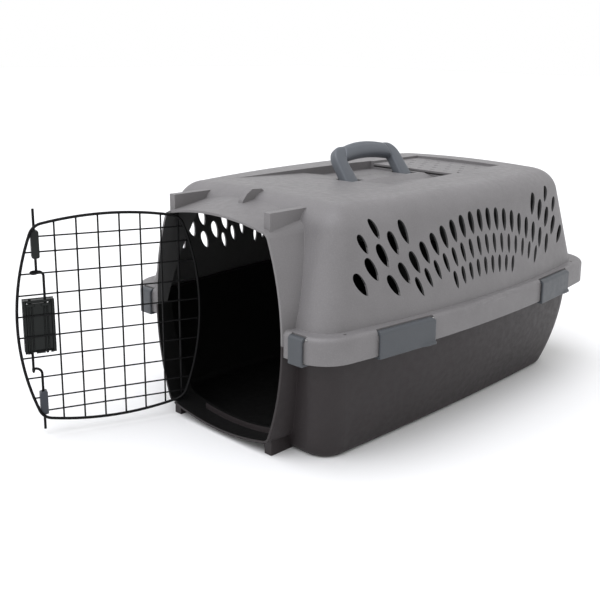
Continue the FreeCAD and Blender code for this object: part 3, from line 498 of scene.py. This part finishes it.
CLIP_TOP = 2.4 * MM
CLIP_OUTER = 5.9 * MM
CLIP_INNER = 3.3 * MM
CLIP_BOTTOM = -31.8 * MM
CLIP_HOOK_TOP = -29.1 * MM
CLIP_HOOK_END = -6.6 * MM
CLIP_CORNER = 7.0 * MM
CLIP_EDGE = 0.35 * MM
CLIP_LIP = 2.1 * MM
LIP_START = 0.74  # shares of a clip's length from its front
LIP_BLEND = 0.12
LONG_CLIP = 40 * MM


def arc_points(centre, radius, start, end, steps):
    """Points of an arc in the clip's section, angles in degrees from outwards towards up."""
    points = []
    for step in range(steps + 1):
        angle = math.radians(start + (end - start) * step / steps)
        points.append((centre[0] + radius * math.cos(angle), centre[1] + radius * math.sin(angle)))
    return points


def clip_section(lip):
    """Closed outline of a clip across the rim: rolled top, flat face, pull lip and hook."""
    roll, foot = 5.0 * MM, 1.1 * MM
    soft, fillet = 0.5 * MM, 0.8 * MM
    points = arc_points((0, 0), CLIP_TOP, 180, 90, 6)
    points += arc_points((CLIP_OUTER - roll, CLIP_TOP - roll), roll, 90, 0, 8)
    for step in range(1, 9):
        points.append((CLIP_OUTER, CLIP_TOP - roll - 20 * MM * step / 8))
    for z, share in ((-27.2, 0.0), (-28.0, 0.3), (-28.6, 0.8), (-29.2, 1.0), (-30.4, 1.0)):
        points.append((CLIP_OUTER + lip * share, z * MM))
    points += arc_points((CLIP_OUTER + lip - foot, CLIP_BOTTOM + foot), foot, 0, -90, 4)
    points += [(0, CLIP_BOTTOM), (CLIP_HOOK_END + soft, CLIP_BOTTOM)]
    points += [(CLIP_HOOK_END, CLIP_BOTTOM + soft), (CLIP_HOOK_END, CLIP_HOOK_TOP - soft)]
    points += [(CLIP_HOOK_END + soft, CLIP_HOOK_TOP), (0, CLIP_HOOK_TOP)]
    points += [(CLIP_INNER - fillet, CLIP_HOOK_TOP), (CLIP_INNER, CLIP_HOOK_TOP + fillet)]
    points += [(CLIP_INNER, z) for z in (-20 * MM, -10 * MM, -CLIP_TOP)]
    return points + [(0, -CLIP_TOP)]


def make_clip(name):
    """A rim clip. The long ones have a rounded upper rear corner and a pull lip at the rear."""
    joint = joint_named(f"{name}_hinge")
    pivot, axis = Vector(joint["pos_m"]), Vector(joint["axis"])
    outwards = Vector((-axis.y, axis.x, 0))
    along = Vector((axis.x, axis.y, 0))
    if along.y < -0.5:
        along = -along
    places = [along.dot(vertex.co - pivot) for vertex in NODES[name].data.vertices]
    low, high = min(places), max(places)
    long_clip = high - low > LONG_CLIP
    stations = [low, low + 0.35 * MM, low + 1.0 * MM]
    stations += [low + (high - low) * step / 24 for step in range(1, 22)]
    for step in range(1, 10):
        stations.append(high - CLIP_CORNER * (1 - math.sin(math.radians(9 * step))))
    stations.append(high - 0.04 * MM)
    rings = []
    for place in sorted(stations):
        from_rear, from_front = high - place, place - low
        lip = 0.0
        if long_clip:
            lip = CLIP_LIP * smooth_step((from_front / (high - low) - LIP_START) / LIP_BLEND)
        drop = 0.0
        if long_clip and from_rear < CLIP_CORNER:
            drop = CLIP_CORNER - math.sqrt(CLIP_CORNER**2 - (CLIP_CORNER - from_rear) ** 2)
        edge = CLIP_EDGE * max(0.0, 1 - min(from_front, from_rear) / (1.0 * MM))
        ring = []
        for out, up in clip_section(lip):
            out -= edge if out > CLIP_INNER + 0.5 * MM else 0.0
            up = min(up, CLIP_TOP - drop)
            ring.append(pivot + outwards * out + along * place + Vector((0, 0, up)))
        rings.append(ring)
    piece = skin_rings(f"{name}_shape", rings)
    piece.data.set_sharp_from_angle(angle=math.radians(35))
    dress(piece, "clip_plastic")
    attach(piece, name)
    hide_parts(name)


# ---------------------------------------------------------------- door fittings


def door_axes():
    """The open door's hinge, its direction across and its direction towards the cabin side."""
    joint = joint_named("door_hinge")
    hinge = Vector(joint["pos_m"])
    turn = Matrix.Rotation(-math.radians(joint["range_deg"][1]), 4, "Z")
    return Vector((hinge.x, hinge.y, 0)), turn @ Vector((1, 0, 0)), turn @ Vector((0, 1, 0))


def door_extent(node):
    """A node's lowest and highest place across the door, towards the cabin side, and up."""
    hinge, across, inwards = door_axes()
    points = [vertex.co - hinge for vertex in NODES[node].data.vertices]
    spans = []
    for axis in (across, inwards, Vector((0, 0, 1))):
        values = [point.dot(axis) for point in points]
        spans.append((min(values), max(values)))
    return spans


def round_edges(shape, width):
    bmesh.ops.bevel(
        shape, geom=shape.edges[:], offset=width, segments=3, affect="EDGES", profile=0.6
    )
    bmesh.ops.recalc_face_normals(shape, faces=shape.faces)


def door_block(across_span, layer_span, up_span, soft):
    """A block on the open door with edges rounded by soft."""
    hinge, across, inwards = door_axes()
    shape = bmesh.new()
    bmesh.ops.create_cube(shape, size=1.0)
    middle = [(span[0] + span[1]) / 2 for span in (across_span, layer_span, up_span)]
    sizes = [span[1] - span[0] for span in (across_span, layer_span, up_span)]
    for vertex in shape.verts:
        place = [vertex.co[i] * sizes[i] + middle[i] for i in range(3)]
        vertex.co = hinge + across * place[0] + inwards * place[1] + Vector((0, 0, place[2]))
    round_edges(shape, soft)
    return finished_piece("block", shape)


def joined(name, pieces, slot, body):
    """One object from several blocks."""
    shape = bmesh.new()
    for piece in pieces:
        shape.from_mesh(piece.data)
    for piece in pieces:
        bpy.data.objects.remove(piece)
    whole = finished_piece(name, shape)
    dress(whole, slot)
    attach(whole, body)
    return whole


def make_latch_back():
    """The housing's closed cabin side: a back plate between two side rails, two double ribs that
    run its whole height, and toothed ends with small fixing tabs."""
    (left, right), (outer, inner), (bottom, top) = door_extent("latch_housing")
    skin, rail = 0.45 * MM, 3 * MM
    inside = (left + 2.5 * MM, right - 2.5 * MM)
    plate, height = (left + 1 * MM, right - 1 * MM), (bottom + 2 * MM, top - 4 * MM)
    blocks = [door_block(plate, (inner - skin, inner), height, 0.2 * MM)]
    for span in ((left, left + rail), (right - rail, right)):
        blocks.append(door_block(span, (outer, inner + 0.3 * MM), (bottom, top), 0.5 * MM))
    head, foot = (top - 3 * MM, top - 0.4 * MM), (bottom + 1.2 * MM, bottom + 3.4 * MM)
    blocks.append(door_block(inside, (outer, inner - 1.2 * MM), head, 0.4 * MM))
    blocks.append(door_block(inside, (outer, inner), foot, 0.4 * MM))
    for x in rod_places():
        for rib in (x - 1.9 * MM, x + 1.9 * MM):
            span = (rib - 0.6 * MM, rib + 0.6 * MM)
            height = (bottom + 3 * MM, top - 7 * MM)
            blocks.append(door_block(span, (inner - 0.1 * MM, inner + 0.9 * MM), height, 0.2 * MM))
        span, height = (x - 5 * MM, x + 5 * MM), (top - 6.8 * MM, top - 5.2 * MM)
        blocks.append(door_block(span, (inner - 0.3 * MM, inner + 1.5 * MM), height, 0.3 * MM))
        span, height = (x - 0.9 * MM, x + 0.9 * MM), (top - 9.2 * MM, top - 6.4 * MM)
        blocks.append(door_block(span, (inner - 0.3 * MM, inner + 1.3 * MM), height, 0.3 * MM))
    middle = (left + 13 * MM, right - 13 * MM)
    for span in ((left + 3 * MM, left + 6 * MM), middle, (right - 6 * MM, right - 3 * MM)):
        height = (bottom - 0.6 * MM, bottom + 2 * MM)
        blocks.append(door_block(span, (outer + 1 * MM, inner), height, 0.4 * MM))
    whole = joined("latch_back", blocks, "latch_plastic", "door")
    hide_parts("latch_housing")


def rod_places():
    """Where the two latch rods run through the housing, across the door."""
    hinge, across, _ = door_axes()
    low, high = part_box("latch_housing")
    reach = 5 * MM
    places = []
    for rod in ("upper_latch_rod", "lower_latch_rod"):
        values = [
            (vertex.co - hinge).dot(across)
            for vertex in NODES[rod].data.vertices
            if low.z - reach < vertex.co.z < high.z + reach
        ]
        places.append(sum(values) / len(values))
    return places


def make_rod(name, jog):
    """A latch rod, cranked at height jog with a tight bend above and a wide one below."""
    hinge, across, inwards = door_axes()
    (low_x, high_x), (outer, inner), (bottom, top) = door_extent(f"{name}_latch_rod")
    radius, layer = (inner - outer) / 2, (inner + outer) / 2
    start, end = high_x - radius, low_x + radius
    tight = 2.1 * MM
    wide = start - end - tight
    above = jog + 20 * MM
    path = [(start, top, 180), (start, above, 180)]
    for step in range(11):
        turn = math.radians(9 * step)
        x, z = start - tight * (1 - math.cos(turn)), jog + tight * (1 - math.sin(turn))
        path.append((x, z, 180 + 9 * step))
    for step in range(1, 13):
        turn = math.radians(7.5 * step)
        x, z = end + wide * (1 - math.sin(turn)), jog - wide * (1 - math.cos(turn))
        path.append((x, z, 270 - 7.5 * step))
    path += [(end, (jog - wide + bottom) / 2, 180), (end, bottom, 180)]
    rings = []
    for x, z, heading in path:
        side = (math.cos(math.radians(heading)), -math.sin(math.radians(heading)))
        ring = []
        for step in range(20):
            angle = 2 * math.pi * step / 20
            out, deep = radius * math.cos(angle), radius * math.sin(angle)
            place = across * (x + side[0] * out) + inwards * (layer + deep)
            ring.append(hinge + place + Vector((0, 0, z + side[1] * out)))
        rings.append(ring)
    piece = skin_rings(f"{name}_rod", rings)
    piece.data.set_sharp_from_angle(angle=math.radians(50))
    dress(piece, "coated_wire")
    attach(piece, f"{name}_latch")
    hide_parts(f"{name}_latch_rod")


EAR_HALF_DEEP = 0.9 * MM


def make_ear(name, shift_x, height, half_across, half_up):
    """The flattened ear at a rod's crank, placed from the rod's outer side."""
    hinge, across, inwards = door_axes()
    (_, right), (outer, inner), _ = door_extent(f"{name}_latch_rod")
    rings = []
    for step in range(9):
        side = 2 * step / 8 - 1
        size = 1 - 0.14 * abs(side) ** 3
        ring = []
        for out, up in rounded_section(half_across * size, half_up * size, 2.3, 28):
            y = (outer + inner) / 2 + side * EAR_HALF_DEEP
            place = across * (right + shift_x + out) + inwards * y
            ring.append(hinge + place + Vector((0, 0, height + up)))
        rings.append(ring)
    piece = skin_rings(f"{name}_rod_ear", rings)
    dress(piece, "coated_wire")
    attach(piece, f"{name}_latch")


def make_spring(name):
    """A latch spring, a copy of the CAD one, carried by the door."""
    node = f"{name}_latch_spring"
    piece = bpy.data.objects.new(f"{name}_spring_coil", NODES[node].data.copy())
    bpy.context.scene.collection.objects.link(piece)
    dress(piece, "spring_steel")
    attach(piece, "door")
    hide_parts(node)
    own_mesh(piece)


def make_sleeve(name, outline):
    """A guide sleeve that clasps the cross wires; outline holds shares of its width and distances
    in millimetres from its bottom (0 or more) or its top (negative)."""
    hinge, across, inwards = door_axes()
    (left, right), (outer, _), (bottom, top) = door_extent(f"{name}_rod_sleeve")
    inner = door_extent("cross_wire_2")[1][1] + 0.8 * MM
    corners = [
        (left + (right - left) * share, bottom + z * MM if z >= 0 else top + z * MM)
        for share, z in outline
    ]
    shape = bmesh.new()
    layers = []
    for y in (outer, inner):
        places = [hinge + across * x + inwards * y + Vector((0, 0, z)) for x, z in corners]
        layers.append([shape.verts.new(place) for place in places])
    shape.faces.new(layers[0])
    shape.faces.new(list(reversed(layers[1])))
    for step in range(len(corners)):
        after = (step + 1) % len(corners)
        shape.faces.new((layers[0][step], layers[1][step], layers[1][after], layers[0][after]))
    round_edges(shape, 0.5 * MM)
    piece = finished_piece(f"{name}_sleeve", shape)
    dress(piece, SLOTS[f"{name}_rod_sleeve"])
    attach(piece, "door")
    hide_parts(f"{name}_rod_sleeve")


UPPER_SLEEVE_OUTLINE = (
    (0, 1.6), (0.18, 0.2), (0.5, 0), (0.82, 0.2), (1, 1.6),
    (1, -1.6), (0.8, -0.2), (0.5, -0.01), (0.2, -0.2), (0, -1.6),
)
LOWER_SLEEVE_OUTLINE = (
    (0, 1.4), (0.55, 0), (1, 3), (1, -2.2), (0.85, -1.0),
    (0.6, -1.4), (0.4, -0.2), (0.15, -0.01), (0, -1.2),
)


def make_latch_rods():
    """Both rods with their ears: the upper is cranked at a cross wire, the lower above one."""
    wire_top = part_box("cross_wire_8")[1].z
    make_rod("upper", wire_top)
    make_ear("upper", 1.2 * MM, wire_top - 1 * MM, 5.2 * MM, 2.9 * MM)
    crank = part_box("cross_wire_3")[1].z + 9.5 * MM
    make_rod("lower", crank)
    make_ear("lower", -1.6 * MM, crank - 1.2 * MM, 1.9 * MM, 4.2 * MM)


def round_off(names, width):
    """Rounds the sharp edges of CAD pieces as moulded plastic has them."""
    for name in names:
        bevel = NODES[name].modifiers.new("soft edges", "BEVEL")
        bevel.width = width
        bevel.segments = 3
        bevel.limit_method = "ANGLE"
        bevel.angle_limit = math.radians(35)
        bevel.harden_normals = True


# ---------------------------------------------------------------- studio


def make_camera():
    """The photograph's viewpoint, as a perspective fit of the carrier gave it."""
    data = bpy.data.cameras.new("camera")
    data.sensor_width = 36.0
    data.lens = 52.78
    data.shift_x, data.shift_y = -0.0677, -0.0938
    camera = bpy.data.objects.new("camera", data)
    camera.location = (0.81444, -0.97078, 0.48309)
    camera.rotation_euler = Euler([math.radians(a) for a in (77.441, -0.96, 42.579)])
    bpy.context.scene.collection.objects.link(camera)
    bpy.context.scene.camera = camera


def make_floor():
    bpy.ops.mesh.primitive_plane_add(size=30)
    floor = bpy.context.object
    floor.name = "floor"
    floor.data.materials.append(floor_paint("floor paint"))


def add_sun(name, towards, spread, strength):
    """Soft light from one side; towards points from the object to the light."""
    data = bpy.data.lights.new(name, "SUN")
    data.energy, data.angle = strength, math.radians(spread)
    data.color = (0.94, 0.95, 1.0)
    light = bpy.data.objects.new(name, data)
    light.rotation_euler = Vector(towards).to_track_quat("Z", "Y").to_euler()
    light.location = Vector(towards)
    bpy.context.scene.collection.objects.link(light)


def make_world():
    world = bpy.data.worlds.new("studio")
    world.use_nodes = True
    sky = world.node_tree.nodes["Background"]
    sky.inputs["Color"].default_value = (1.0, 1.0, 1.0, 1.0)
    sky.inputs["Strength"].default_value = 1.0
    bpy.context.scene.world = world
    bpy.context.scene.view_settings.view_transform = "Standard"


def make_lights():
    add_sun("key", (-0.1, -0.45, 1.0), 60, 2.2)


# ---------------------------------------------------------------- build


dress_nodes()
refine_shell("upper_shell", "upper_shell_plastic")
refine_shell("lower_shell", "lower_shell_plastic")
make_handle_arch()
make_grip_sleeve()
for clip in [name for name in NODES if name.endswith("_clip")]:
    make_clip(clip)
make_latch_back()
make_latch_rods()
make_spring("upper")
make_spring("lower")
make_sleeve("upper", UPPER_SLEEVE_OUTLINE)
make_sleeve("lower", LOWER_SLEEVE_OUTLINE)
round_off(("latch_cover", "upper_squeeze_tab", "lower_squeeze_tab"), 0.6 * MM)
make_floor()
make_world()
make_lights()
make_camera()
